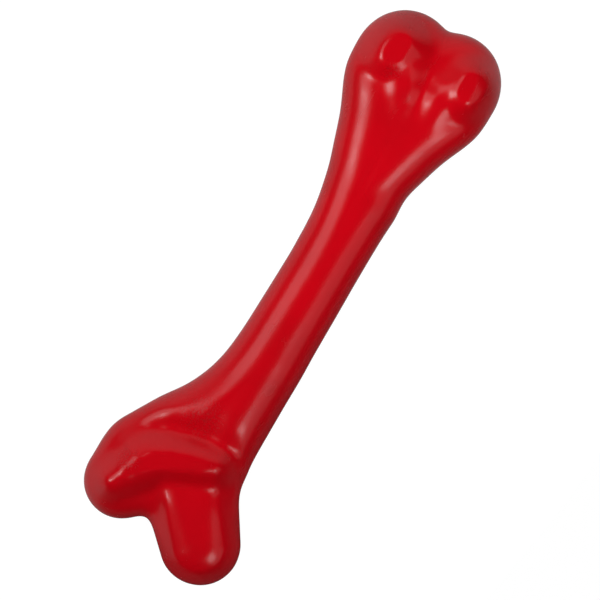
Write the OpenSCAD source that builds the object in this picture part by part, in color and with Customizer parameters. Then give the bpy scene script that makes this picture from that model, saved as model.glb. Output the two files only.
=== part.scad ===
// Solid rubber chew bone, pressed in one piece in a two-part mould.
// It lies flat. X runs from the forked end to the heart-shaped end, Y across, Z up.
// The mould parts half way up, and the two faces mirror each other there.
// The plan is a smooth joining of round-ended tapers. From its edge the skin
// rolls up to a field of tops: the shaft, the floors of the ends and their ridges.

/* [Overall] */
// Length, tip to tip
bone_length = 170; // [150:1:210]
// Height over the knobs and the crest, both faces
bone_height = 27; // [24:0.5:33]
// Width of the forked end, which its outline and relief follow
fork_width = 49.3; // [41:0.1:60]
// Width of the heart-shaped end, which its outline and relief follow
heart_width = 41.6; // [36:0.1:50]

/* [Shaft] */
// Radius of the shaft where the forked end grows out of it
shaft_fork_radius = 11; // [8:0.1:13.5]
// Radius of the shaft where the heart-shaped end grows out of it
shaft_heart_radius = 9.6; // [8:0.1:11.6]
// From the forked tip to where the shaft begins
shaft_fork_inset = 35; // [29:0.5:43]
// From the heart-shaped tip to where the shaft ends
shaft_heart_inset = 56; // [46:0.5:68]
// How far the shaft's forked end lies to the lobe's side
shaft_fork_shift = 1; // [0:0.1:3]
// How far the shaft's heart-shaped end lies to the finger's side
shaft_heart_shift = 0.4; // [0:0.1:2]
// Softening where the ends flare out of the shaft
flare_blend = 8.2; // [4:0.1:12]

/* [Forked end] */
// Radius of the finger at its round tip
finger_tip_radius = 11.2; // [9.3:0.1:12.6]
// Radius of the finger where it leaves the body of the end
finger_root_radius = 14.5; // [12:0.1:16]
// Radius of the lobe at its tip
lobe_tip_radius = 10.5; // [8.7:0.1:12.6]
// Radius of the lobe half way along
lobe_mid_radius = 13; // [10.8:0.1:15]
// Radius of the taper that leads the lobe out of the shaft
lobe_root_radius = 5.5; // [4:0.1:7]
// Softening of the notch between finger and lobe
notch_blend = 6; // [3:0.1:9]
// Width over which the end's edge rolls up
fork_roll = 10; // [8:0.1:12]

/* [Heart-shaped end] */
// Radius of the two round corners at the tip
corner_radius = 13.6; // [11.3:0.1:15]
// Radius of the shoulders behind the corners
shoulder_radius = 15.5; // [13:0.1:17]
// Radius of the taper that leads the shoulders out of the shaft
heart_root_radius = 4.5; // [3:0.1:6]
// Turn of the end seen from above, in degrees
heart_turn = 3.5; // [0:0.5:8]
// Softening of the cleft between the corners
cleft_blend = 3; // [1:0.1:6]
// Width over which the end's edge rolls up
heart_roll = 10.5; // [8.5:0.1:12.6]

/* [Relief] */
// Softening between neighbouring tapers of one lobe
taper_blend = 6; // [3:0.1:9]
// Softening at the foot of ridges, knobs and crest
foot_blend = 2.2; // [1:0.1:3.5]
// Softening along the edges of the grooves
groove_blend = 1.8; // [0.8:0.1:3]
// Softening where a ridge bends
bend_blend = 0.8; // [0.4:0.1:1.6]
// Softening of the tops that touch a flat floor
top_blend = 0.6; // [0.3:0.1:1.2]
// Rounding of the swellings that carry the knobs
condyle_round = 2.5; // [1.5:0.1:4]
// Rounding around the two knobs
knob_round = 2.2; // [1:0.1:3]
// Rounding along the edges of the finger's flat
finger_round = 1.5; // [0.8:0.1:2.4]
// Rounding on the sides of the rib and crest
crest_round = 2.4; // [1.2:0.1:3.6]
// Rounding along the bottom of the grooves
groove_round = 0.9; // [0.5:0.1:2]

/* [Hidden] */

half_length = bone_length / 2;
half_height = bone_height / 2;

// Places in the forked end: along from its tip, aside from the shaft's line,
// both as shares of the end's width. The lobe's shares aside reach to its edge.
lobe_reach_share = 0.593;
lobe_tip_share = 0.32;
lobe_mid_shares = [0.49, 0.569];
lobe_root_shares = [1.32, 0];
finger_root_shares = [0.65, 0.17];
fork_rise_shares = [0.84, 0.62];
fork_middle_shares = [0.51, 0.03];

// Places in the heart-shaped end, in the same way with its own width
heart_line_share = 0.046;
shoulder_shares = [0.478, 0.108];
heart_root_shares = [1.68, 0.036];
heart_rise_shares = [1.32, 0.79];
heart_dip_shares = [0.7, 0.46];
heart_middle_shares = [0.41, 0.034];

// Heights of the floors between the ridges, as shares of half the bone's height
flare_top_share = 0.76;
heart_floor_share = 0.7;
fork_floor_share = 0.66;

// Raised strokes: along, aside, top as a share of half the height, half width of the flat top
upper_condyle_shares = [
    [0.64, 0.085, 0.81, 0.01], [0.54, 0.13, 0.86, 0.02], [0.42, 0.2, 0.9, 0.02], [0.31, 0.27, 0.91, 0.02]
];
lower_condyle_shares = [
    [0.575, -0.12, 0.83, 0.01], [0.5, -0.125, 0.87, 0.02],
    [0.41, -0.16, 0.89, 0.02], [0.29, -0.23, 0.9, 0.02]
];
upper_knob_shares = [[0.36, 0.325, 1.04, 0.05], [0.292, 0.32, 1.04, 0.05]];
lower_knob_shares = [[0.345, -0.27, 1.04, 0.055], [0.285, -0.272, 1.04, 0.055]];
finger_shares = [[0.227, -0.18, 0.76, 0.13], [0.53, 0.06, 0.8, 0.13]];
crest_shares = [
    [0.308, 0.424, 0.95, 0], [0.39, 0.375, 0.99, 0.006], [0.467, 0.327, 1.02, 0.01],
    [0.53, 0.27, 1.04, 0.014], [0.58, 0.2, 1.05, 0.018], [0.615, 0.124, 1.05, 0.018],
    [0.641, 0.047, 1.04, 0.016], [0.657, -0.03, 1.01, 0.01]
];

// Pressed strokes, with their depth in place of the top
flare_groove_shares = [
    [0.6, 0.45, 0, 0], [0.65, 0.39, 0.06, 0], [0.69, 0.325, 0.13, 0], [0.72, 0.25, 0.17, 0],
    [0.745, 0.17, 0.18, 0], [0.765, 0.07, 0.17, 0], [0.775, -0.05, 0.12, 0], [0.775, -0.3, 0.06, 0]
];
finger_groove_shares = [
    [0.325, 0.225, 0.01, 0], [0.42, 0.165, 0.03, 0], [0.485, 0.04, 0.04, 0], [0.52, -0.11, 0.03, 0]
];

// How steeply each stroke falls away on its sides, height for width
upper_condyle_fall_share = 0.75;
lower_condyle_fall_share = 0.75;
upper_knob_fall_share = 0.9;
lower_knob_fall_share = 1;
finger_fall_share = 0.85;
crest_fall_share = 0.95;
flare_groove_fall_share = 0.45;
finger_groove_fall_share = 0.4;

// The most that a taper's sides may lean together, so that its discs never swallow each other
lean_limit_share = 0.95;

// Counts of the shell: rays round each end, stations along each side, rings, halvings
fork_rays = 64;
heart_rays = 48;
side_stations = 38;
rings = 16;
halvings = 20;

function clamp01(t) = max(0, min(1, t));
function mix(a, b, t) = a + (b - a) * t;
function ease(t) = let (u = clamp01(t)) u * u * (3 - 2 * u);
function ease_between(t, from, to) = ease((t - from) / (to - from));

// The larger of two values, rounded over a band of width k where they cross
function soft_max(a, b, k) =
    let (near = max(k - abs(a - b), 0) / k)
    max(a, b) + near * near * near * k / 6;
function soft_min(a, b, k) = -soft_max(-a, -b, k);

function fork_place(share) = [share[0] * fork_width - half_length, share[1] * fork_width];
function heart_place(share) = [half_length - share[0] * heart_width, share[1] * heart_width];
function disc(place, radius) = [place.x, place.y, radius];

// Depth of point p inside the round-ended taper from disc a to disc b
function taper(p, a, b) =
    let (
        step = [b.x - a.x, b.y - a.y],
        run = norm(step),
        way = step / run,
        off = [p.x - a.x, p.y - a.y],
        lean = max(-lean_limit_share, min(lean_limit_share, (a.z - b.z) / run)),
        ahead = off * way,
        beside = abs(off.x * way.y - off.y * way.x),
        t = clamp01((ahead - beside * lean / sqrt(1 - lean * lean)) / run)
    )
    mix(a.z, b.z, t) - norm([ahead - t * run, beside]);

// Tapers of the plan. The lobe's and the finger's edges set the width.
finger_y = finger_tip_radius - (1 - lobe_reach_share) * fork_width;
finger_tip = [finger_tip_radius - half_length, finger_y, finger_tip_radius];
finger_root = disc(fork_place(finger_root_shares), finger_root_radius);
lobe_tip_y = lobe_reach_share * fork_width - lobe_tip_radius;
lobe_tip = [lobe_tip_share * fork_width - half_length, lobe_tip_y, lobe_tip_radius];
lobe_mid_edge = fork_place(lobe_mid_shares);
lobe_mid = [lobe_mid_edge.x, lobe_mid_edge.y - lobe_mid_radius, lobe_mid_radius];
lobe_root = disc(fork_place(lobe_root_shares), lobe_root_radius);
shaft_fork = [shaft_fork_inset - half_length, shaft_fork_shift, shaft_fork_radius];
shaft_heart = [half_length - shaft_heart_inset, -shaft_heart_shift, shaft_heart_radius];
heart_root = disc(heart_place(heart_root_shares), heart_root_radius);

// A disc on one side of the heart's own line, which the turn tilts
function heart_disc(middle_x, spread, radius, side) =
    [
        middle_x - side * spread * sin(heart_turn),
        heart_line_share * heart_width + side * spread * cos(heart_turn),
        radius
    ];
corner_spread = (heart_width / 2 - corner_radius) / cos(heart_turn);
corner_x = half_length - corner_radius - corner_spread * sin(heart_turn);
corners = [for (side = [1, -1]) heart_disc(corner_x, corner_spread, corner_radius, side)];
shoulder_x = half_length - shoulder_shares[0] * heart_width;
shoulder_spread = shoulder_shares[1] * heart_width;
shoulders = [for (side = [1, -1]) heart_disc(shoulder_x, shoulder_spread, shoulder_radius, side)];

function heart_half(p, i) =
    soft_max(taper(p, heart_root, shoulders[i]), taper(p, shoulders[i], corners[i]), taper_blend);
function heart_depth(p) = soft_max(heart_half(p, 0), heart_half(p, 1), cleft_blend);
function lobe_depth(p) = soft_max(taper(p, lobe_root, lobe_mid), taper(p, lobe_mid, lobe_tip), taper_blend);
function fork_depth(p) = soft_max(lobe_depth(p), taper(p, finger_root, finger_tip), notch_blend);

// Depth of point p inside the whole plan, negative outside it
function plan_depth(p) =
    soft_max(
        soft_max(taper(p, shaft_fork, shaft_heart), heart_depth(p), flare_blend),
        fork_depth(p), flare_blend
    );

// One stretch of a ridge: a flat top that falls away evenly past a rounded shoulder.
// a and b are [x, y, top, half width of the flat].
function stretch(p, a, b, fall, round) =
    let (
        step = [b.x - a.x, b.y - a.y],
        off = [p.x - a.x, p.y - a.y],
        t = clamp01((off * step) / (step * step)),
        away = max(norm(off - t * step) - mix(a[3], b[3], t), 0)
    )
    mix(a.z, b.z, t) + round - norm([round, fall * away]);

function ridge_point(place, row, width) = [place.x, place.y, row[2] * half_height, row[3] * width];
function fork_ridge(rows) = [for (row = rows) ridge_point(fork_place(row), row, fork_width)];
function heart_ridge(rows) = [for (row = rows) ridge_point(heart_place(row), row, heart_width)];

// A ridge's height over p from its stretches i and on
function ridge(p, path, fall, round, i = 0) =
    let (here = stretch(p, path[i], path[i + 1], fall, round))
    i + 2 == len(path) ? here : soft_max(here, ridge(p, path, fall, round, i + 1), bend_blend);

upper_condyle = heart_ridge(upper_condyle_shares);
lower_condyle = heart_ridge(lower_condyle_shares);
upper_knob = heart_ridge(upper_knob_shares);
lower_knob = heart_ridge(lower_knob_shares);
finger = fork_ridge(finger_shares);
crest = fork_ridge(crest_shares);
flare_groove = fork_ridge(flare_groove_shares);
finger_groove = fork_ridge(finger_groove_shares);

function raise(height, over) = soft_max(height, over, foot_blend);
function add_condyles(p, height) =
    raise(raise(height,
        ridge(p, upper_condyle, upper_condyle_fall_share, condyle_round)),
        ridge(p, lower_condyle, lower_condyle_fall_share, condyle_round));
function add_knobs(p, height) =
    raise(raise(height,
        ridge(p, upper_knob, upper_knob_fall_share, knob_round)),
        ridge(p, lower_knob, lower_knob_fall_share, knob_round));
function add_fork_ridges(p, height) =
    raise(raise(height,
        ridge(p, finger, finger_fall_share, finger_round)),
        ridge(p, crest, crest_fall_share, crest_round));
function groove_depth(p, path, fall) = soft_max(ridge(p, path, fall, groove_round), 0, groove_blend);

// How far point p has passed between two places along an end, from 0 to 1
function in_fork(p, shares) =
    ease_between(p.x, fork_place([shares[0], 0]).x, fork_place([shares[1], 0]).x);
function in_heart(p, shares) =
    ease_between(p.x, heart_place([shares[0], 0]).x, heart_place([shares[1], 0]).x);
function shaft_radius(p) =
    mix(shaft_fork.z, shaft_heart.z, clamp01((p.x - shaft_fork.x) / (shaft_heart.x - shaft_fork.x)));

// Height of the floors that the ridges stand on
function floor_height(p) =
    let (
        flare = mix(shaft_radius(p), flare_top_share * half_height, in_heart(p, heart_rise_shares)),
        dip = (flare_top_share - heart_floor_share) * half_height * in_heart(p, heart_dip_shares)
    )
    mix(flare - dip, fork_floor_share * half_height, in_fork(p, fork_rise_shares));

// Width of the band over which the edge rolls up from the parting plane
function roll_width(p) =
    let (heart = mix(shaft_radius(p), heart_roll, in_heart(p, heart_rise_shares)))
    mix(heart, fork_roll, in_fork(p, fork_rise_shares));

// Height of the skin over the parting plane
function skin_height(p) =
    let (
        raised = add_fork_ridges(p, add_knobs(p, add_condyles(p, floor_height(p)))),
        grooved = raised - groove_depth(p, flare_groove, flare_groove_fall_share)
            - groove_depth(p, finger_groove, finger_groove_fall_share),
        t = 1 - clamp01(plan_depth(p) / roll_width(p))
    )
    soft_min(grooved * sqrt(1 - t * t), half_height, top_blend);

// The shell is laid out on rays from a straight spine to the plan's edge
spine_fork = fork_place(fork_middle_shares);
spine_heart = heart_place(heart_middle_shares);
ray_count = fork_rays + heart_rays + 2 * side_stations;
search_reach = max(fork_width, heart_width);

// Station on the spine, from 0 at the forked end to side_stations
function spine_point(i) = mix(spine_fork, spine_heart, i / side_stations);

// Rays run round the heart, back along the lobe's side, round the fork and on
function ray_station(i) =
    i <= heart_rays ? side_stations
    : i < heart_rays + side_stations ? heart_rays + side_stations - i
    : i <= heart_rays + side_stations + fork_rays ? 0
    : i - (heart_rays + side_stations + fork_rays);
function ray_angle(i) =
    i <= heart_rays ? 180 * i / heart_rays - 90
    : i < heart_rays + side_stations ? 90
    : i <= heart_rays + side_stations + fork_rays ? 90 + 180 * (i - heart_rays - side_stations) / fork_rays
    : 270;

// Distance along a ray to the edge, halving the span that holds it
function edge_distance(from, way, near, far, left) =
    let (middle = (near + far) / 2)
    left == 0 ? middle
    : plan_depth(from + middle * way) > 0 ? edge_distance(from, way, middle, far, left - 1)
    : edge_distance(from, way, near, middle, left - 1);

rays = [
    for (i = [0 : ray_count - 1])
    let (
        from = spine_point(ray_station(i)),
        way = [cos(ray_angle(i)), sin(ray_angle(i))]
    )
    [from, way * edge_distance(from, way, 0, search_reach, halvings)]
];

// Rings crowd towards the edge, where the skin is steepest
function ring_place(ray, ring) = ray[0] + ray[1] * sin(90 * ring / rings);
function lifted(p) = [p.x, p.y, skin_height(p)];

spine_tops = [for (i = [0 : side_stations]) lifted(spine_point(i))];
ring_tops = [for (ring = [1 : rings - 1]) for (ray = rays) lifted(ring_place(ray, ring))];
edge = [for (ray = rays) let (p = ray[0] + ray[1]) [p.x, p.y, 0]];
upper = concat(spine_tops, ring_tops);
function flipped(points) = [for (p = points) [p.x, p.y, -p.z]];

// Points in order: edge, upper face, lower face
shell_points = concat(edge, upper, flipped(upper));
function face_start(face) = ray_count + face * len(upper);
function ring_index(face, ring, i) =
    let (turn = i % ray_count)
    ring == rings ? turn
    : ring == 0 ? face_start(face) + ray_station(turn)
    : face_start(face) + len(spine_tops) + (ring - 1) * ray_count + turn;

// Two triangles between neighbouring rays and rings, or one where they share a station
function cell(face, ring, i) =
    let (
        a = ring_index(face, ring, i),
        b = ring_index(face, ring, i + 1),
        c = ring_index(face, ring + 1, i + 1),
        d = ring_index(face, ring + 1, i),
        up = a == b ? [[a, c, d]] : [[a, b, c], [a, c, d]]
    )
    face == 0 ? up : [for (t = up) [t[2], t[1], t[0]]];
shell_faces = [
    for (face = [0, 1]) for (ring = [0 : rings - 1]) for (i = [0 : ray_count - 1])
    each cell(face, ring, i)
];

// The bone stands on its lowest points, centred on its own outline
low_x = min([for (p = edge) p.x]);
high_x = max([for (p = edge) p.x]);
low_y = min([for (p = edge) p.y]);
high_y = max([for (p = edge) p.y]);
lift = max([for (p = upper) p.z]);

module rubber_bone() {
    color([0.78, 0.01, 0.07])
    translate([-(low_x + high_x) / 2, -(low_y + high_y) / 2, lift])
    polyhedron(points = shell_points, faces = shell_faces, convexity = 6);
}

rubber_bone();
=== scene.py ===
"""Rubber chew bone: one moulded piece of glossy red rubber, lying on a pale floor.

The skin follows one rule. Its plan is a smooth joining of round-ended tapers, and from the plan's
edge it rolls up to a field of tops: the shaft, the floors of the ends and their ridges. Geometry
Nodes work that rule out from the sizes in the sidebar.
"""
import math
from types import SimpleNamespace
from typing import NamedTuple

import bmesh
import bpy
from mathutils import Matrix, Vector


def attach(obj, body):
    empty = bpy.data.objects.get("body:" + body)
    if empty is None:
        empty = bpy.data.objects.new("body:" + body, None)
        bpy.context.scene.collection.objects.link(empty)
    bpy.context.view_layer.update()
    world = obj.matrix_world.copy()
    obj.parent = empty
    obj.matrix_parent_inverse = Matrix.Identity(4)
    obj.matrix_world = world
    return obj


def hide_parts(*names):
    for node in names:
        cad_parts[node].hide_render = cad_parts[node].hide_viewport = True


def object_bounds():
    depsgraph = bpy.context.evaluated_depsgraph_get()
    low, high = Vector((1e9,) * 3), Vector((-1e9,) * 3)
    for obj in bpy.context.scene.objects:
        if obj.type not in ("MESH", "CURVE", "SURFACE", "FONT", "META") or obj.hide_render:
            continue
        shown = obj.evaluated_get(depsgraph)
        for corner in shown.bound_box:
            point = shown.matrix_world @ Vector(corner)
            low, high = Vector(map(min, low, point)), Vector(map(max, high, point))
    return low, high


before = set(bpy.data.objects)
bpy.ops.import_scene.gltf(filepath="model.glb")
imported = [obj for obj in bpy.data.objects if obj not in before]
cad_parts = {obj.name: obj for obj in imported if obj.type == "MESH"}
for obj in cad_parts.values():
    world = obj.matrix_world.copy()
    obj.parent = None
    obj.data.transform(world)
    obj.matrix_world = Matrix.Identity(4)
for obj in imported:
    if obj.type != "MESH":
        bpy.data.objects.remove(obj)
cad_low, cad_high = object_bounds()

bl_info = {
    "name": "Rubber chew bone",
    "version": (1, 0, 0),
    "blender": (4, 5, 0),
    "location": "3D View > Sidebar > Chew bone",
    "description": "A moulded rubber chew bone with its red rubber and its studio",
    "category": "Object",
}

MM = 0.001
BONE_NODE = "rubber_bone"
BODY = "root"

# Places in the forked end, as shares of its width: along from its tip, and aside from the bone's
# middle line, on the lobe's side. The lobe's reach and the aside share of its middle are its outer edge.
LOBE_REACH_SHARE = 0.593
LOBE_TIP_SHARE = 0.32
LOBE_MID_SHARES = (0.49, 0.569)
LOBE_ROOT_SHARES = (1.32, 0.0)
FINGER_ROOT_SHARES = (0.65, 0.17)
FORK_MIDDLE_SHARES = (0.51, 0.03)

# Places in the heart-shaped end, as shares of its own width. The heart has a line of its own, and the
# aside share of the shoulders counts from that line.
HEART_LINE_SHARE = 0.046
SHOULDER_SHARES = (0.478, 0.108)
HEART_ROOT_SHARES = (1.68, 0.036)
HEART_MIDDLE_SHARES = (0.41, 0.034)

# Where along from a tip the shaft gives way to the end's floor, and where the heart's floor dips
FORK_RISE_SHARES = (0.84, 0.62)
HEART_RISE_SHARES = (1.32, 0.79)
HEART_DIP_SHARES = (0.70, 0.46)

# Heights of the floors between the ridges, as shares of half the bone's height
FLARE_TOP_SHARE = 0.76
HEART_FLOOR_SHARE = 0.70
FORK_FLOOR_SHARE = 0.66


class Ridge(NamedTuple):
    """A raised or pressed stroke that follows a row of points in one of the ends.

    A point has its shares along and aside, its height or depth as a share of half the bone's height,
    and half the width of its flat as a share of the end's width.
    """

    end: str
    points: tuple
    fall_share: float
    rounding: str


# The swellings that carry the knobs, the knobs, the finger's flat, and the rib with the crest
RIDGES = (
    Ridge("heart", ((0.64, 0.085, 0.81, 0.01), (0.54, 0.13, 0.86, 0.02), (0.42, 0.20, 0.90, 0.02),
                    (0.31, 0.27, 0.91, 0.02)), 0.75, "condyle_round"),
    Ridge("heart", ((0.575, -0.12, 0.83, 0.01), (0.50, -0.125, 0.87, 0.02), (0.41, -0.16, 0.89, 0.02),
                    (0.29, -0.23, 0.90, 0.02)), 0.75, "condyle_round"),
    Ridge("heart", ((0.36, 0.325, 1.04, 0.05), (0.292, 0.32, 1.04, 0.05)), 0.9, "knob_round"),
    Ridge("heart", ((0.345, -0.27, 1.04, 0.055), (0.285, -0.272, 1.04, 0.055)), 1.0, "knob_round"),
    Ridge("fork", ((0.227, -0.18, 0.76, 0.13), (0.53, 0.06, 0.80, 0.13)), 0.85, "finger_round"),
    Ridge("fork", ((0.308, 0.424, 0.95, 0.0), (0.39, 0.375, 0.99, 0.006), (0.467, 0.327, 1.02, 0.01),
                   (0.53, 0.27, 1.04, 0.014), (0.58, 0.20, 1.05, 0.018), (0.615, 0.124, 1.05, 0.018),
                   (0.641, 0.047, 1.04, 0.016), (0.657, -0.03, 1.01, 0.01)), 0.95, "crest_round"),
)

# The groove under the flare, and the valley beside the finger
GROOVES = (
    Ridge("fork", ((0.60, 0.45, 0.0, 0.0), (0.65, 0.39, 0.06, 0.0), (0.69, 0.325, 0.13, 0.0),
                   (0.72, 0.25, 0.17, 0.0), (0.745, 0.17, 0.18, 0.0), (0.765, 0.07, 0.17, 0.0),
                   (0.775, -0.05, 0.12, 0.0), (0.775, -0.30, 0.06, 0.0)), 0.45, "groove_round"),
    Ridge("fork", ((0.325, 0.225, 0.01, 0.0), (0.42, 0.165, 0.03, 0.0), (0.485, 0.04, 0.04, 0.0),
                   (0.52, -0.11, 0.03, 0.0)), 0.4, "groove_round"),
)

# Where the skin is finely pitted, in millimetres: along and aside from the bone's middle, and reach.
# The pits are at their fullest over the first share of the reach.
WORN_SPOTS = ((-62.5, 15.0, 4.5), (-42.5, 3.5, 8.5), (65.0, 5.5, 3.5))
WORN_CORE_SHARE = 0.3


class Mark(NamedTuple):
    """What a noise leaves on the skin: the levels between which it comes in, and what it does there."""

    low: float
    high: float
    darken_share: float
    dull_share: float


CLOUDS = Mark(0.3, 0.75, 0.5, 0.0)
SMEARS = Mark(0.56, 0.74, 0.35, 0.7)
# The pits are real dents in the bump, and their darkening of the colour is painted shade in them
PITS_WITH_SHADE = Mark(0.42, 0.7, 0.8, 1.0)

# Smears are drawn out along the bone, and come in between these levels of the clouds
SMEAR_STRETCH = (0.3, 1, 1)
SMEAR_CLOUD_LEVELS = (0.42, 0.62)

# How much the clouds vary the gloss, how dull the parting line is, and where its dullness ends
CLOUD_ROUGHNESS = 0.06
SEAM_DULL_SHARE = 0.8
SEAM_DULL_REACH = 2.5

# The colour sockets of a Mix node, by number, because its other kinds have the same names
MIX_FIRST, MIX_SECOND, MIX_RESULT = 6, 7, 2

# Past this share of the way out a ring lies on the parting plane, and points nearer than this are merged
LAST_RING_SHARE = 1 - 1e-4
MERGE_DISTANCE = 0.001 * MM

# The place that the camera looks straight down on, and its lens in millimetres
VIEW_MIDDLE = (-1.55 * MM, -3.59 * MM)
LENS_LENGTH = 200


class Lamp(NamedTuple):
    """A rectangular lamp that faces a target: the way to it, its distance and its sides.

    The azimuth counts from +X towards +Y and the zenith from straight up, both in degrees. A lamp
    that isn't mirrored lights the rubber and leaves no highlight on it.
    """

    name: str
    azimuth: float
    zenith: float
    distance: float
    sides: tuple
    target: tuple = (0, 0, 0)
    mirrored: bool = True


LAMPS = (
    Lamp("key", 100, 46, 1.2, (0.9, 0.75)),
    Lamp("key_core", 118, 47, 1.15, (0.35, 0.4)),
    Lamp("fill", -95, 50, 1.2, (1.0, 0.95)),
    Lamp("fill_core", -112, 42, 1.15, (0.35, 0.4)),
    Lamp("top", 20, 10, 0.18, (0.2, 0.2), (0.05, 0, 0.02), mirrored=False),
    Lamp("ceiling", 0, 0, 1.2, (1.2, 1.2), mirrored=False),
)

FLOOR_RADIUS = 0.5
FLOOR_MIDDLE = (0.05, 0.40, 0)
FLOOR_SIDES = 96
FLOOR_COLOUR = (0.8, 0.8, 0.8, 1)
FLOOR_ROUGHNESS = 0.9

# How much of what a ray sees on the floor is its glow, and how bright the camera sees that. To the camera
# the glow is even and white; in the rubber it is a painted reflection.
GLOW_SHARES = {"Is Camera Ray": 0.85, "Is Glossy Ray": 0.92, "Is Transmission Ray": 0.92}
GLOW_BRIGHTNESS = 1.13

# The floor's glow, a painted reflection seen only in the rubber, is bright on the lobe's side, and the
# walls look bright
# past the heart: the way there, and how far along it the brightness begins and is full
FLOOR_WAY = (0.35, 1, 0)
FLOOR_WAY_RANGE = (-0.035, 0.005)
WALL_WAY = (0.9, 0.35, -0.3)
WALL_WAY_RANGE = (0.25, 0.8)


def length(name, description, metres):
    """A property for a length, in metres."""
    return bpy.props.FloatProperty(
        name=name, description=description, default=metres, min=0, precision=5,
        unit="LENGTH", subtype="DISTANCE"
    )


def angle(name, description, degrees):
    """A property for an angle, given in degrees and kept in radians."""
    return bpy.props.FloatProperty(
        name=name, description=description, default=math.radians(degrees), unit="ROTATION", subtype="ANGLE"
    )


def count(name, description, default, low):
    """A property for a whole number."""
    return bpy.props.IntProperty(name=name, description=description, default=default, min=low)


def level(name, description, default, high=1):
    """A property for a plain number from 0 up."""
    return bpy.props.FloatProperty(name=name, description=description, default=default, min=0, max=high)


def colour(name, description, default):
    """A property for a colour."""
    return bpy.props.FloatVectorProperty(
        name=name, description=description, default=default, size=3, min=0, max=1, subtype="COLOR"
    )


class BoneSizes(bpy.types.PropertyGroup):
    """Sizes of the moulded bone."""

    bone_length: length("Length", "Length, tip to tip", cad_high[0] - cad_low[0])
    bone_height: length("Height", "Height over the knobs of both faces", cad_high[2] - cad_low[2])
    fork_width: length("Fork width", "Width of the forked end", 49.3 * MM)
    heart_width: length("Heart width", "Width of the heart-shaped end", 41.6 * MM)
    shaft_fork_radius: length("Shaft radius at the fork", "Radius where the forked end grows out", 11 * MM)
    shaft_heart_radius: length("Shaft radius at the heart", "Radius where the heart grows out", 9.6 * MM)
    shaft_fork_inset: length("Shaft start", "From the forked tip to where the shaft begins", 35 * MM)
    shaft_heart_inset: length("Shaft end", "From the heart's tip to where the shaft ends", 56 * MM)
    shaft_fork_shift: length("Shaft start shift", "Its forked end's place to the lobe's side", 1 * MM)
    shaft_heart_shift: length("Shaft end shift", "Its heart end's place to the finger's side", 0.4 * MM)
    flare_blend: length("Flare softening", "Where the ends flare out of the shaft", 8.2 * MM)
    finger_tip_radius: length("Finger tip radius", "Radius of the finger at its tip", 11.2 * MM)
    finger_root_radius: length("Finger root radius", "Radius where it leaves the end's body", 14.5 * MM)
    lobe_tip_radius: length("Lobe tip radius", "Radius of the lobe at its tip", 10.5 * MM)
    lobe_mid_radius: length("Lobe middle radius", "Radius of the lobe half way along", 13 * MM)
    lobe_root_radius: length("Lobe root radius", "Radius of the taper that leads it out", 5.5 * MM)
    notch_blend: length("Notch softening", "Between the finger and the lobe", 6 * MM)
    fork_roll: length("Fork roll", "Width over which the forked end's edge rolls up", 10 * MM)
    corner_radius: length("Corner radius", "Radius of the heart's two round corners", 13.6 * MM)
    shoulder_radius: length("Shoulder radius", "Radius of the shoulders behind them", 15.5 * MM)
    heart_root_radius: length("Heart root radius", "Radius of the taper that leads them out", 4.5 * MM)
    heart_turn: angle("Heart turn", "Turn of the heart seen from above", 3.5)
    cleft_blend: length("Cleft softening", "Between the heart's corners", 3 * MM)
    heart_roll: length("Heart roll", "Width over which the heart's edge rolls up", 10.5 * MM)
    taper_blend: length("Taper softening", "Between neighbouring tapers of one lobe", 6 * MM)
    foot_blend: length("Foot softening", "At the foot of ridges, knobs and crest", 2.2 * MM)
    groove_blend: length("Groove softening", "Along the edges of the grooves", 1.8 * MM)
    bend_blend: length("Bend softening", "Where a ridge bends", 0.8 * MM)
    top_blend: length("Top softening", "Tops that touch the flat of the mould", 0.6 * MM)
    condyle_round: length("Shoulder rounding", "On the swellings that carry the knobs", 2.5 * MM)
    knob_round: length("Knob rounding", "Around the two knobs", 2.2 * MM)
    finger_round: length("Finger rounding", "Along the edges of the finger's flat", 1.5 * MM)
    crest_round: length("Crest rounding", "On the sides of the rib and crest", 2.4 * MM)
    groove_round: length("Groove rounding", "Along the bottom of the grooves", 0.9 * MM)
    wave_height: length("Wave height", "Slow waves that the mould leaves in the skin", 0.12 * MM)
    wave_length: length("Wave length", "Length of those waves", 14 * MM)
    seam_height: length("Seam height", "How proud the mould's parting line stands", 0.16 * MM)
    seam_width: length("Seam width", "Half width of the parting line", 0.45 * MM)


class SkinDetail(bpy.types.PropertyGroup):
    """How finely the skin is meshed."""

    fork_rays: count("Fork rays", "Rays round the forked end", 190, low=8)
    heart_rays: count("Heart rays", "Rays round the heart", 150, low=8)
    side_rays: count("Side rays", "Rays along each side", 130, low=4)
    rings: count("Rings", "Rings from the middle to the edge", 70, low=4)
    halvings: count("Halvings", "Steps that find the edge", 22, low=8)
    seed: count("Seed", "Fixed seed of the waves", 7, low=0)


class RubberLook(bpy.types.PropertyGroup):
    """Colour, gloss and surface of the rubber."""

    red: colour("Red", "Colour of the rubber", (0.57, 0.0005, 0.006))
    deep_red: colour("Deep red", "Colour of its darker clouds", (0.44, 0.0005, 0.004))
    roughness: level("Roughness", "Roughness of the moulded skin", 0.23)
    dull_roughness: level("Dull roughness", "Added where it is smeared or pitted, and on the seam", 0.17)
    cloud_size: length("Cloud size", "Size of the colour's slow clouds", 16 * MM)
    smear_size: length("Smear size", "Width of the smears, which run along the bone", 3 * MM)
    peel_size: length("Peel size", "Size of the skin's fine unevenness", 1.6 * MM)
    grain_size: length("Grain size", "Size of the pits in worn spots", 0.6 * MM)
    smear_depth: length("Smear depth", "Height of the smears", 0.022 * MM)
    peel_depth: length("Peel depth", "Height of the fine unevenness", 0.008 * MM)
    grain_depth: length("Grain depth", "Depth of the pits", 0.018 * MM)


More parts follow.
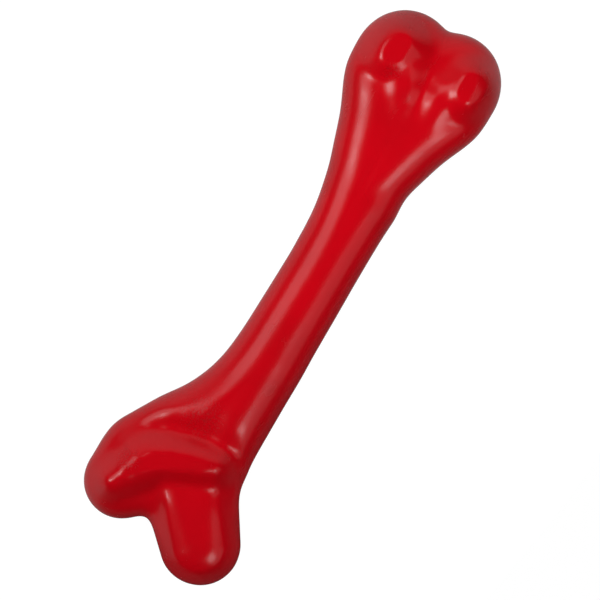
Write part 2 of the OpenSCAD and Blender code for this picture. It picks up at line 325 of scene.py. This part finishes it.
class Studio(bpy.types.PropertyGroup):
    """The camera's place and the level of the lamps."""

    view_width: length("View width", "Width seen at the bone's parting plane", 165.68 * MM)
    view_turn: angle("View turn", "Turn of the camera about the vertical", -60)
    key_brightness: level("Key", "Brightness of the softbox on the lobe's side", 1.4, high=50)
    key_core_brightness: level("Key core", "Brightness of the middle of that softbox", 5.5, high=50)
    fill_brightness: level("Fill", "Brightness of the softbox on the finger's side", 0.42, high=50)
    fill_core_brightness: level("Fill core", "Brightness of the middle of that softbox", 3, high=50)
    top_brightness: level("Top", "Brightness of the lamp over the heart, without a highlight", 1.7, high=50)
    ceiling_brightness: level("Ceiling", "Brightness of the ceiling, without a highlight", 0.8, high=50)
    room_brightness: level("Room", "Soft light from all round", 0.05, high=10)
    wall_brightness: level("Walls", "How bright the far walls look in the rubber", 0.4, high=10)
    # Strength of the floor's glow in the rubber: a painted reflection, not light falling on the floor
    floor_brightness: level("Floor", "How bright the floor looks in the rubber", 0.33, high=10)


# The property groups, under the names that the scene keeps them by
SCENE_GROUPS = {
    "bone_sizes": BoneSizes, "bone_detail": SkinDetail, "bone_rubber": RubberLook, "bone_studio": Studio
}


class Field:
    """A value in a node tree. Arithmetic on it adds the math nodes that work the result out."""

    def __init__(self, socket):
        self.socket = socket
        self.tree = socket.id_data

    def __add__(self, other):
        return calculate("ADD", self, other)

    def __sub__(self, other):
        return calculate("SUBTRACT", self, other)

    def __rsub__(self, other):
        return calculate("SUBTRACT", other, self)

    def __mul__(self, other):
        return calculate("MULTIPLY", self, other)

    def __truediv__(self, other):
        return calculate("DIVIDE", self, other)

    def __rtruediv__(self, other):
        return calculate("DIVIDE", other, self)

    def __neg__(self):
        return calculate("SUBTRACT", 0, self)

    __radd__ = __add__
    __rmul__ = __mul__


def feed(socket, value):
    """Link a field or an output to a socket, or set the socket to a plain value."""
    if isinstance(value, Field):
        value.tree.links.new(value.socket, socket)
    elif isinstance(value, bpy.types.NodeSocket):
        value.id_data.links.new(value, socket)
    else:
        socket.default_value = value


def tree_of(values):
    """The node tree that the first field among the values belongs to."""
    return next(value.tree for value in values if isinstance(value, Field))


def calculate(operation, *values):
    """Add a math node."""
    node = tree_of(values).nodes.new("ShaderNodeMath")
    node.operation = operation
    for socket, value in zip(node.inputs, values):
        feed(socket, value)
    return Field(node.outputs[0])


def between(value, start, end, shape="LINEAR"):
    """How far a value has passed from start to end, from 0 to 1."""
    node = value.tree.nodes.new("ShaderNodeMapRange")
    node.interpolation_type = shape
    feed(node.inputs["Value"], value)
    feed(node.inputs["From Min"], start)
    feed(node.inputs["From Max"], end)
    return Field(node.outputs["Result"])


def ease_between(value, start, end):
    """The same with soft ends."""
    return between(value, start, end, "SMOOTHSTEP")


def mix(a, b, t):
    """A value from a to b."""
    return calculate("MULTIPLY_ADD", b - a, t, a)


def hypotenuse(a, b):
    """Length of the step (a, b)."""
    return calculate("SQRT", a * a + b * b)


def soft_max(a, b, width):
    """The larger of two values, rounded over a band where they cross."""
    return calculate("SMOOTH_MAX", a, b, width)


def group_call(name, labels, build, values):
    """Add a node group that works out build, and make the group the first time."""
    inner = bpy.data.node_groups.get(name)
    if inner is None:
        inner = bpy.data.node_groups.new(name, "GeometryNodeTree")
        for label in labels:
            inner.interface.new_socket(label, in_out="INPUT", socket_type="NodeSocketFloat")
        inner.interface.new_socket("Value", in_out="OUTPUT", socket_type="NodeSocketFloat")
        entry = inner.nodes.new("NodeGroupInput")
        result = build(*(Field(entry.outputs[label]) for label in labels))
        feed(inner.nodes.new("NodeGroupOutput").inputs["Value"], result)
    node = tree_of(values).nodes.new("GeometryNodeGroup")
    node.node_tree = inner
    for socket, value in zip(node.inputs, values):
        feed(socket, value)
    return Field(node.outputs[0])


def build_taper(x, y, from_x, from_y, from_radius, to_x, to_y, to_radius):
    """Depth of a point inside a round-ended taper, negative outside it."""
    step_x, step_y = to_x - from_x, to_y - from_y
    run = hypotenuse(step_x, step_y)
    way_x, way_y = step_x / run, step_y / run
    off_x, off_y = x - from_x, y - from_y
    lean = (from_radius - to_radius) / run
    ahead = off_x * way_x + off_y * way_y
    beside = calculate("ABSOLUTE", off_x * way_y - off_y * way_x)
    tilt = lean / calculate("SQRT", 1 - lean * lean)
    t = between((ahead - beside * tilt) / run, 0, 1)
    return mix(from_radius, to_radius, t) - hypotenuse(ahead - t * run, beside)


def taper(point, start, end):
    """Depth of a point inside the taper between two discs."""
    labels = ("X", "Y", "From X", "From Y", "From radius", "To X", "To Y", "To radius")
    return group_call("Round-ended taper", labels, build_taper, (*point, *start, *end))


def build_stretch(x, y, from_x, from_y, from_top, from_flat, to_x, to_y, to_top, to_flat, fall, rounding):
    """Height of a straight ridge: a flat top that falls away evenly past a rounded shoulder."""
    step_x, step_y = to_x - from_x, to_y - from_y
    off_x, off_y = x - from_x, y - from_y
    t = between((off_x * step_x + off_y * step_y) / (step_x * step_x + step_y * step_y), 0, 1)
    from_line = hypotenuse(off_x - t * step_x, off_y - t * step_y)
    away = calculate("MAXIMUM", from_line - mix(from_flat, to_flat, t), 0)
    return mix(from_top, to_top, t) + rounding - hypotenuse(rounding, fall * away)


def stretch(point, start, end, fall, rounding):
    """Height over a point of the ridge between two of its points."""
    labels = ("X", "Y", "From X", "From Y", "From top", "From flat",
              "To X", "To Y", "To top", "To flat", "Fall", "Rounding")
    return group_call("Ridge stretch", labels, build_stretch, (*point, *start, *end, fall, rounding))


def fork_place(s, along, aside):
    """A place in the forked end, from shares of its width."""
    return along * s.fork_width - s.bone_length / 2, aside * s.fork_width


def heart_place(s, along, aside):
    """A place in the heart-shaped end, from shares of its width."""
    return s.bone_length / 2 - along * s.heart_width, aside * s.heart_width


def heart_pair(s, middle_x, spread, radius, side):
    """One of two discs either side of the heart's own line, which the turn tilts."""
    sine, cosine = calculate("SINE", s.heart_turn), calculate("COSINE", s.heart_turn)
    line = HEART_LINE_SHARE * s.heart_width
    return middle_x - side * spread * sine, line + side * spread * cosine, radius


def shaft_ends(s):
    """The discs at the shaft's two ends."""
    fork = (s.shaft_fork_inset - s.bone_length / 2, s.shaft_fork_shift, s.shaft_fork_radius)
    heart = (s.bone_length / 2 - s.shaft_heart_inset, -s.shaft_heart_shift, s.shaft_heart_radius)
    return fork, heart


def heart_depth(point, s):
    """Depth of a point inside the heart: two halves, each of two tapers."""
    root = (*heart_place(s, *HEART_ROOT_SHARES), s.heart_root_radius)
    cosine, sine = calculate("COSINE", s.heart_turn), calculate("SINE", s.heart_turn)
    corner_spread = (s.heart_width / 2 - s.corner_radius) / cosine
    corner_x = s.bone_length / 2 - s.corner_radius - corner_spread * sine
    shoulder_x = s.bone_length / 2 - SHOULDER_SHARES[0] * s.heart_width
    shoulder_spread = SHOULDER_SHARES[1] * s.heart_width
    halves = []
    for side in (1, -1):
        corner = heart_pair(s, corner_x, corner_spread, s.corner_radius, side)
        shoulder = heart_pair(s, shoulder_x, shoulder_spread, s.shoulder_radius, side)
        halves.append(soft_max(taper(point, root, shoulder), taper(point, shoulder, corner), s.taper_blend))
    return soft_max(halves[0], halves[1], s.cleft_blend)


def fork_depth(point, s):
    """Depth of a point inside the forked end: the lobe's two tapers and the finger."""
    half_length = s.bone_length / 2
    tip_y = LOBE_REACH_SHARE * s.fork_width - s.lobe_tip_radius
    tip = (LOBE_TIP_SHARE * s.fork_width - half_length, tip_y, s.lobe_tip_radius)
    mid_x, mid_edge = fork_place(s, *LOBE_MID_SHARES)
    mid = (mid_x, mid_edge - s.lobe_mid_radius, s.lobe_mid_radius)
    root = (*fork_place(s, *LOBE_ROOT_SHARES), s.lobe_root_radius)
    lobe = soft_max(taper(point, root, mid), taper(point, mid, tip), s.taper_blend)
    finger_root = (*fork_place(s, *FINGER_ROOT_SHARES), s.finger_root_radius)
    finger_y = s.finger_tip_radius - (1 - LOBE_REACH_SHARE) * s.fork_width
    finger_tip = (s.finger_tip_radius - half_length, finger_y, s.finger_tip_radius)
    return soft_max(lobe, taper(point, finger_root, finger_tip), s.notch_blend)


def plan_depth(point, s):
    """Depth of a point inside the whole plan, negative outside it."""
    shaft = soft_max(taper(point, *shaft_ends(s)), heart_depth(point, s), s.flare_blend)
    return soft_max(shaft, fork_depth(point, s), s.flare_blend)


def ridge_height(point, ridge, s):
    """Height of a whole ridge over a point."""
    place, width = (fork_place, s.fork_width) if ridge.end == "fork" else (heart_place, s.heart_width)
    path = [(*place(s, along, aside), top * s.bone_height / 2, flat * width)
            for along, aside, top, flat in ridge.points]
    rounding = getattr(s, ridge.rounding)
    height = None
    for start, end in reversed(list(zip(path, path[1:]))):
        here = stretch(point, start, end, ridge.fall_share, rounding)
        height = here if height is None else soft_max(here, height, s.bend_blend)
    return height


def skin_height(point, s):
    """Height of the skin over the parting plane."""
    x, y = point
    half_height = s.bone_height / 2
    shaft_fork, shaft_heart = shaft_ends(s)
    in_fork = ease_between(x, *(fork_place(s, along, 0)[0] for along in FORK_RISE_SHARES))
    in_heart = ease_between(x, *(heart_place(s, along, 0)[0] for along in HEART_RISE_SHARES))
    in_dip = ease_between(x, *(heart_place(s, along, 0)[0] for along in HEART_DIP_SHARES))
    shaft = mix(shaft_fork[2], shaft_heart[2], between(x, shaft_fork[0], shaft_heart[0]))
    flare = mix(shaft, FLARE_TOP_SHARE * half_height, in_heart)
    flare = flare - (FLARE_TOP_SHARE - HEART_FLOOR_SHARE) * half_height * in_dip
    top = mix(flare, FORK_FLOOR_SHARE * half_height, in_fork)
    roll = mix(mix(shaft, s.heart_roll, in_heart), s.fork_roll, in_fork)
    for ridge in RIDGES:
        top = soft_max(top, ridge_height(point, ridge, s), s.foot_blend)
    for groove in GROOVES:
        top = top - soft_max(ridge_height(point, groove, s), 0, s.groove_blend)
    t = 1 - between(plan_depth(point, s) / roll, 0, 1)
    return calculate("SMOOTH_MIN", top * calculate("SQRT", 1 - t * t), half_height, s.top_blend)


class BoneTree:
    """The node tree that moulds the bone. Its geometry runs from node to node."""

    def __init__(self):
        self.tree = bpy.data.node_groups.new("Moulded bone", "GeometryNodeTree")
        self.tree.interface.new_socket("Geometry", in_out="OUTPUT", socket_type="NodeSocketGeometry")
        self.entry = self.tree.nodes.new("NodeGroupInput")
        self.identifiers = {}

    def add_inputs(self, group_type):
        """Give the tree an input for each property of a group, and return their fields by name."""
        for key, field in group_type.bl_rna.properties.items():
            if key in group_type.__annotations__:
                kind = "NodeSocketInt" if field.type == "INT" else "NodeSocketFloat"
                socket = self.tree.interface.new_socket(field.name, in_out="INPUT", socket_type=kind)
                self.identifiers[key] = socket.identifier
        return SimpleNamespace(**{key: self.input(key) for key in group_type.__annotations__})

    def input(self, key):
        """The field of the input that a property feeds."""
        wanted = self.identifiers[key]
        return Field(next(socket for socket in self.entry.outputs if socket.identifier == wanted))

    def add(self, kind, geometry=None, settings=(), **inputs):
        """Add a node, with its settings, its geometry and its other inputs by name."""
        node = self.tree.nodes.new(kind)
        for key, value in dict(settings).items():
            setattr(node, key, value)
        if geometry is not None:
            self.tree.links.new(geometry, node.inputs[0])
        for key, value in inputs.items():
            feed(node.inputs[key.replace("_", " ")], value)
        return node

    def vector(self, x, y, z):
        """A vector field from three values."""
        return Field(self.add("ShaderNodeCombineXYZ", X=x, Y=y, Z=z).outputs[0])

    def position(self):
        """The three parts of a point's place."""
        place = self.tree.nodes.new("GeometryNodeInputPosition").outputs["Position"]
        return [Field(socket) for socket in self.add("ShaderNodeSeparateXYZ", place).outputs]


def lay_rays(bone, s, detail):
    """Count the rays and rings on a grid, and work out where each ray starts and which way it runs."""
    ray_count = detail.fork_rays + detail.heart_rays + 2 * detail.side_rays
    grid = bone.add(
        "GeometryNodeMeshGrid", Size_X=ray_count, Size_Y=detail.rings,
        Vertices_X=ray_count + 1, Vertices_Y=detail.rings + 1
    )
    grid_x, grid_y, _ = bone.position()
    ray = grid_x + ray_count / 2
    ring_share = grid_y / detail.rings + 0.5
    heart_end = detail.heart_rays
    fork_start = heart_end + detail.side_rays
    fork_end = fork_start + detail.fork_rays
    round_ends = between(ray, 0, heart_end) + between(ray, fork_start, fork_end) - 0.5
    bearing = math.pi * round_ends
    station = 1 - between(ray, heart_end, fork_start) + between(ray, fork_end, ray_count)
    spine = [mix(a, b, station) for a, b in zip(fork_place(s, *FORK_MIDDLE_SHARES),
                                                 heart_place(s, *HEART_MIDDLE_SHARES))]
    way = (calculate("COSINE", bearing), calculate("SINE", bearing))
    return grid.outputs["Mesh"], ring_share, spine, way


def find_edge(bone, mesh, spine, way, s, halvings):
    """Store on each ray the distance to the plan's edge.

    The search starts half a span out, and each repeat goes on by half of the step before it, out
    from a point inside the plan and back from one outside.
    """
    span = calculate("MAXIMUM", s.fork_width, s.heart_width)
    started = bone.add("GeometryNodeStoreNamedAttribute", mesh, Name="reach", Value=span / 2)
    zone = bone.add("GeometryNodeRepeatInput", Iterations=halvings)
    zone_end = bone.tree.nodes.new("GeometryNodeRepeatOutput")
    zone.pair_with_output(zone_end)
    bone.tree.links.new(started.outputs["Geometry"], zone.inputs["Geometry"])
    reach = Field(bone.add("GeometryNodeInputNamedAttribute", Name="reach").outputs["Attribute"])
    point = (spine[0] + way[0] * reach, spine[1] + way[1] * reach)
    step = span / calculate("POWER", 2, Field(zone.outputs["Iteration"]) + 2)
    farther = reach + step * calculate("SIGN", plan_depth(point, s))
    stored = bone.add(
        "GeometryNodeStoreNamedAttribute", zone.outputs["Geometry"], Name="reach", Value=farther
    )
    bone.tree.links.new(stored.outputs["Geometry"], zone_end.inputs["Geometry"])
    return zone_end.outputs["Geometry"]


def raise_skin(bone, mesh, ring_share, spine, way, s):
    """Move the grid to the upper face, its last ring on the parting plane, and add the lower face."""
    reach = Field(bone.add("GeometryNodeInputNamedAttribute", Name="reach").outputs["Attribute"])
    out = reach * calculate("SINE", ring_share * (math.pi / 2))
    point = (spine[0] + way[0] * out, spine[1] + way[1] * out)
    inside = calculate("LESS_THAN", ring_share, LAST_RING_SHARE)
    place = bone.vector(*point, skin_height(point, s) * inside)
    upper = bone.add("GeometryNodeSetPosition", mesh, Position=place).outputs["Geometry"]
    upper = bone.add("GeometryNodeRemoveAttribute", upper, Name="reach").outputs["Geometry"]
    mirrored = bone.add("GeometryNodeTransform", upper, Scale=(1, 1, -1)).outputs["Geometry"]
    lower = bone.add("GeometryNodeFlipFaces", mirrored).outputs["Mesh"]
    both = bone.add("GeometryNodeJoinGeometry", upper)
    bone.tree.links.new(lower, both.inputs["Geometry"])
    merged = bone.add("GeometryNodeMergeByDistance", both.outputs["Geometry"], Distance=MERGE_DISTANCE)
    return merged.outputs["Geometry"]


def finish_skin(bone, mesh, s, seed):
    """Add the mould's slow waves and its parting line, then stand the bone on its lowest points."""
    waves = bone.add(
        "ShaderNodeTexNoise", settings={"noise_dimensions": "4D"}, W=seed, Scale=1 / s.wave_length
    )
    wave = (Field(waves.outputs["Fac"]) - 0.5) * 2 * s.wave_height
    _, _, z = bone.position()
    slope = z / s.seam_width
    seam = s.seam_height * calculate("EXPONENT", -(slope * slope))
    normal = bone.tree.nodes.new("GeometryNodeInputNormal").outputs["Normal"]
    push = bone.add("ShaderNodeVectorMath", normal, {"operation": "SCALE"}, Scale=wave + seam)
    mesh = bone.add("GeometryNodeSetPosition", mesh, Offset=Field(push.outputs[0])).outputs["Geometry"]
    x, y, z = bone.position()
    spans = [bone.add("GeometryNodeAttributeStatistic", mesh, Attribute=part).outputs for part in (x, y, z)]
    to_middle = [(Field(span["Min"]) + Field(span["Max"])) * -0.5 for span in spans[:2]]
    offset = bone.vector(*to_middle, -Field(spans[2]["Min"]))
    return bone.add("GeometryNodeSetPosition", mesh, Offset=offset).outputs["Geometry"]


def build_bone_tree():
    """Build the whole tree."""
    bone = BoneTree()
    s = bone.add_inputs(BoneSizes)
    detail = bone.add_inputs(SkinDetail)
    material = bone.tree.interface.new_socket("Material", in_out="INPUT", socket_type="NodeSocketMaterial")
    bone.identifiers["material"] = material.identifier
    grid, ring_share, spine, way = lay_rays(bone, s, detail)
    mesh = find_edge(bone, grid, spine, way, s, detail.halvings)
    mesh = raise_skin(bone, mesh, ring_share, spine, way, s)
    mesh = finish_skin(bone, mesh, s, detail.seed)
    smooth = bone.add("GeometryNodeSetShadeSmooth", mesh).outputs["Geometry"]
    real = bone.add("GeometryNodeRealizeInstances", smooth).outputs["Geometry"]
    coated = bone.add("GeometryNodeSetMaterial", real, Material=bone.input("material"))
    leave = bone.tree.nodes.new("NodeGroupOutput")
    bone.tree.links.new(coated.outputs["Geometry"], leave.inputs["Geometry"])
    return bone


def noise(place, size, detail=2, distortion=0):
    """A noise field with features of a size."""
    node = place.tree.nodes.new("ShaderNodeTexNoise")
    feed(node.inputs["Vector"], place)
    node.inputs["Scale"].default_value = 1 / size
    node.inputs["Detail"].default_value = detail
    node.inputs["Distortion"].default_value = distortion
    return Field(node.outputs["Fac"])


def worn_share(x, y):
    """How worn the skin is over a place, from 0 to 1."""
    total = None
    for spot_x, spot_y, reach in WORN_SPOTS:
        away = hypotenuse(x - spot_x * MM, y - spot_y * MM)
        here = 1 - ease_between(away, WORN_CORE_SHARE * reach * MM, reach * MM)
        total = here if total is None else calculate("MAXIMUM", total, here)
    return total


def presence(mark, field):
    """How far a mark has come in at a noise field's level."""
    return ease_between(field, mark.low, mark.high)


def red_rubber(look, parting_height, seam_width):
    """Glossy red rubber: slow clouds of colour, smears along the bone, fine unevenness and pitted spots,
    whose pits are darkened with painted shade.
    """
    material = bpy.data.materials.new("red_rubber")
    material.use_nodes = True
    tree = material.node_tree
    shader = tree.nodes["Principled BSDF"]
    place = Field(tree.nodes.new("ShaderNodeTexCoord").outputs["Object"])
    split = tree.nodes.new("ShaderNodeSeparateXYZ")
    feed(split.inputs[0], place)
    x, y, z = (Field(socket) for socket in split.outputs)
    drawn_out = tree.nodes.new("ShaderNodeVectorMath")
    drawn_out.operation = "MULTIPLY"
    feed(drawn_out.inputs[0], place)
    drawn_out.inputs[1].default_value = SMEAR_STRETCH

    clouds = noise(place, look.cloud_size, detail=3)
    smears = noise(Field(drawn_out.outputs[0]), look.smear_size, detail=4, distortion=0.6)
    peel = noise(place, look.peel_size)
    grain = noise(place, look.grain_size, detail=3)
    # Where the pits are: the bump presses them in, and the colour is darkened there as painted shade
    shaded_pits = worn_share(x, y) * presence(PITS_WITH_SHADE, grain)
    smeared = presence(SMEARS, smears) * ease_between(clouds, *SMEAR_CLOUD_LEVELS)
    off_seam = calculate("ABSOLUTE", z - parting_height)
    seam = 1 - ease_between(off_seam, seam_width, SEAM_DULL_REACH * seam_width)

    dark = presence(CLOUDS, clouds) * CLOUDS.darken_share + smeared * SMEARS.darken_share
    tint = tree.nodes.new("ShaderNodeMix")
    tint.data_type = "RGBA"
    # The pits darken the colour: painted shade in the dents that the bump presses in
    feed(tint.inputs["Factor"], calculate("MINIMUM", dark + shaded_pits * PITS_WITH_SHADE.darken_share, 1))
    tint.inputs[MIX_FIRST].default_value = (*look.red, 1)
    tint.inputs[MIX_SECOND].default_value = (*look.deep_red, 1)
    tree.links.new(tint.outputs[MIX_RESULT], shader.inputs["Base Color"])

    dull = calculate("MAXIMUM", smeared * SMEARS.dull_share, shaded_pits * PITS_WITH_SHADE.dull_share)
    dull = calculate("MAXIMUM", dull, seam * SEAM_DULL_SHARE)
    roughness = look.roughness + look.dull_roughness * dull + (clouds - 0.5) * CLOUD_ROUGHNESS
    feed(shader.inputs["Roughness"], roughness)

    # The relief is in metres, so the bump's own distance is 1
    relief = smears * look.smear_depth + peel * look.peel_depth - shaded_pits * look.grain_depth
    bump = tree.nodes.new("ShaderNodeBump")
    bump.inputs["Distance"].default_value = 1
    feed(bump.inputs["Height"], relief)
    tree.links.new(bump.outputs["Normal"], shader.inputs["Normal"])
    return material


class CHEWBONE_OT_mould_bone(bpy.types.Operator):
    """Mould the bone's skin around the packed solid and give it its rubber."""

    bl_idname = "chewbone.mould_bone"
    bl_label = "Mould the bone"

    def execute(self, context):
        scene = context.scene
        bone = build_bone_tree()
        skin = bpy.data.objects.new("rubber_bone_skin", bpy.data.meshes.new("rubber_bone_skin"))
        scene.collection.objects.link(skin)
        modifier = skin.modifiers.new("Moulded bone", "NODES")
        modifier.node_group = bone.tree
        sizes = scene.bone_sizes
        for group in (sizes, scene.bone_detail):
            for key in group.__annotations__:
                modifier[bone.identifiers[key]] = getattr(group, key)
        rubber = red_rubber(scene.bone_rubber, sizes.bone_height / 2, sizes.seam_width)
        modifier[bone.identifiers["material"]] = rubber
        evaluated = skin.evaluated_get(context.evaluated_depsgraph_get())
        mesh = bpy.data.meshes.new_from_object(evaluated)
        skin.modifiers.remove(modifier)
        skin.data = mesh
        mesh.name = skin.name
        if not mesh.polygons:
            raise RuntimeError("the bone has no faces")
        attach(skin, BODY)
        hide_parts(BONE_NODE)
        return {"FINISHED"}


def hang_lamp(scene, lamp, brightness):
    """Hang a lamp of the table. One of brightness 1 is as bright to look at as the white background."""
    azimuth, zenith = math.radians(lamp.azimuth), math.radians(lamp.zenith)
    across = math.sin(zenith)
    way = Vector((across * math.cos(azimuth), across * math.sin(azimuth), math.cos(zenith)))
    light = bpy.data.lights.new(lamp.name, "AREA")
    light.shape = "RECTANGLE"
    light.size, light.size_y = lamp.sides
    light.energy = brightness * math.pi * lamp.sides[0] * lamp.sides[1]
    # With it on, a lamp that isn't mirrored would still leave a highlight
    light.cycles.use_multiple_importance_sampling = lamp.mirrored
    holder = bpy.data.objects.new(lamp.name, light)
    holder.location = Vector(lamp.target) + way * lamp.distance
    holder.rotation_euler = way.to_track_quat("Z", "Y").to_euler()
    holder.visible_glossy = lamp.mirrored
    scene.collection.objects.link(holder)


def place_camera(scene, studio):
    """Look straight down, from as far as the view's width asks at the height of the parting plane."""
    camera = bpy.data.objects.new("Camera", bpy.data.cameras.new("Camera"))
    camera.data.lens = LENS_LENGTH
    distance = studio.view_width * camera.data.lens / camera.data.sensor_width
    camera.location = (*VIEW_MIDDLE, scene.bone_sizes.bone_height / 2 + distance)
    camera.rotation_euler = (0, 0, studio.view_turn)
    scene.collection.objects.link(camera)
    scene.camera = camera


def ray_choice(tree, values):
    """The value that the kind of ray chooses, 0 for every other kind."""
    path = tree.nodes.new("ShaderNodeLightPath")
    total = None
    for ray, value in values.items():
        here = Field(path.outputs[ray]) * value
        total = here if total is None else total + here
    return total


def along_way(tree, coordinate, way):
    """How far the shaded place, or the direction where the world is shaded, lies along a way."""
    dot = tree.nodes.new("ShaderNodeVectorMath")
    dot.operation = "DOT_PRODUCT"
    feed(dot.inputs[0], tree.nodes.new("ShaderNodeTexCoord").outputs[coordinate])
    dot.inputs[1].default_value = way
    return Field(dot.outputs["Value"])


def pale_floor(studio):
    """Matt pale paint with a glow: even and white to the camera, and in the rubber a painted reflection,
    bright only on the lobe's side.
    """
    material = bpy.data.materials.new("pale_floor")
    material.use_nodes = True
    tree = material.node_tree
    paint = tree.nodes["Principled BSDF"]
    paint.inputs["Base Color"].default_value = FLOOR_COLOUR
    paint.inputs["Roughness"].default_value = FLOOR_ROUGHNESS
    paint.inputs["Specular IOR Level"].default_value = 0
    # The floor glows for glossy rays on the lobe's side only: a painted reflection in the rubber's rims
    reflected_glow_side = ease_between(along_way(tree, "Object", FLOOR_WAY), *FLOOR_WAY_RANGE)
    mirrored = studio.floor_brightness * reflected_glow_side
    strengths = {
        "Is Camera Ray": GLOW_BRIGHTNESS, "Is Glossy Ray": mirrored, "Is Transmission Ray": mirrored
    }
    glow = tree.nodes.new("ShaderNodeEmission")
    feed(glow.inputs["Strength"], ray_choice(tree, strengths))
    blend = tree.nodes.new("ShaderNodeMixShader")
    feed(blend.inputs["Fac"], ray_choice(tree, GLOW_SHARES))
    tree.links.new(paint.outputs[0], blend.inputs[1])
    tree.links.new(glow.outputs[0], blend.inputs[2])
    tree.links.new(blend.outputs[0], tree.nodes["Material Output"].inputs["Surface"])
    return material


def lay_floor(scene, studio):
    """A round floor that keeps the bone's shadow."""
    form = bmesh.new()
    bmesh.ops.create_circle(form, cap_ends=True, segments=FLOOR_SIDES, radius=FLOOR_RADIUS)
    bmesh.ops.translate(form, verts=form.verts, vec=FLOOR_MIDDLE)
    mesh = bpy.data.meshes.new("floor")
    form.to_mesh(mesh)
    form.free()
    mesh.materials.append(pale_floor(studio))
    floor = bpy.data.objects.new("floor", mesh)
    scene.collection.objects.link(floor)


def light_room(scene, studio):
    """Soft light from all round, which the camera sees as white."""
    scene.world = bpy.data.worlds.new("Studio")
    scene.world.use_nodes = True
    tree = scene.world.node_tree
    room = tree.nodes["Background"]
    room.inputs["Color"].default_value = (1, 1, 1, 1)
    past_heart = ease_between(along_way(tree, "Generated", WALL_WAY), *WALL_WAY_RANGE)
    walls = studio.wall_brightness * past_heart
    strengths = {
        "Is Camera Ray": 1, "Is Diffuse Ray": studio.room_brightness,
        "Is Glossy Ray": walls, "Is Transmission Ray": walls,
    }
    feed(room.inputs["Strength"], ray_choice(tree, strengths))


class CHEWBONE_OT_set_stage(bpy.types.Operator):
    """Lay the floor, hang the lamps and place the camera."""

    bl_idname = "chewbone.set_stage"
    bl_label = "Set the stage"

    def execute(self, context):
        scene = context.scene
        studio = scene.bone_studio
        scene.view_settings.view_transform = "Standard"
        place_camera(scene, studio)
        for lamp in LAMPS:
            hang_lamp(scene, lamp, getattr(studio, lamp.name + "_brightness"))
        lay_floor(scene, studio)
        light_room(scene, studio)
        return {"FINISHED"}


class CHEWBONE_PT_sidebar(bpy.types.Panel):
    """Sizes, rubber and studio of the chew bone."""

    bl_label = "Chew bone"
    bl_space_type = "VIEW_3D"
    bl_region_type = "UI"
    bl_category = "Chew bone"

    def draw(self, context):
        for operator in (CHEWBONE_OT_mould_bone, CHEWBONE_OT_set_stage):
            self.layout.operator(operator.bl_idname)
        for name, kind in SCENE_GROUPS.items():
            box = self.layout.box()
            box.label(text=kind.__doc__)
            for key in kind.__annotations__:
                box.prop(getattr(context.scene, name), key)


CLASSES = (*SCENE_GROUPS.values(), CHEWBONE_OT_mould_bone, CHEWBONE_OT_set_stage, CHEWBONE_PT_sidebar)


def register():
    """Add the classes, and give the scene its property groups."""
    for kind in CLASSES:
        bpy.utils.register_class(kind)
    for name, kind in SCENE_GROUPS.items():
        setattr(bpy.types.Scene, name, bpy.props.PointerProperty(type=kind))


def unregister():
    """Take them away again, in the other order."""
    for name in SCENE_GROUPS:
        delattr(bpy.types.Scene, name)
    for kind in reversed(CLASSES):
        bpy.utils.unregister_class(kind)


def main():
    """Make the bone and the stage."""
    register()
    bpy.ops.chewbone.mould_bone()
    bpy.ops.chewbone.set_stage()


if __name__ == "__main__":
    main()
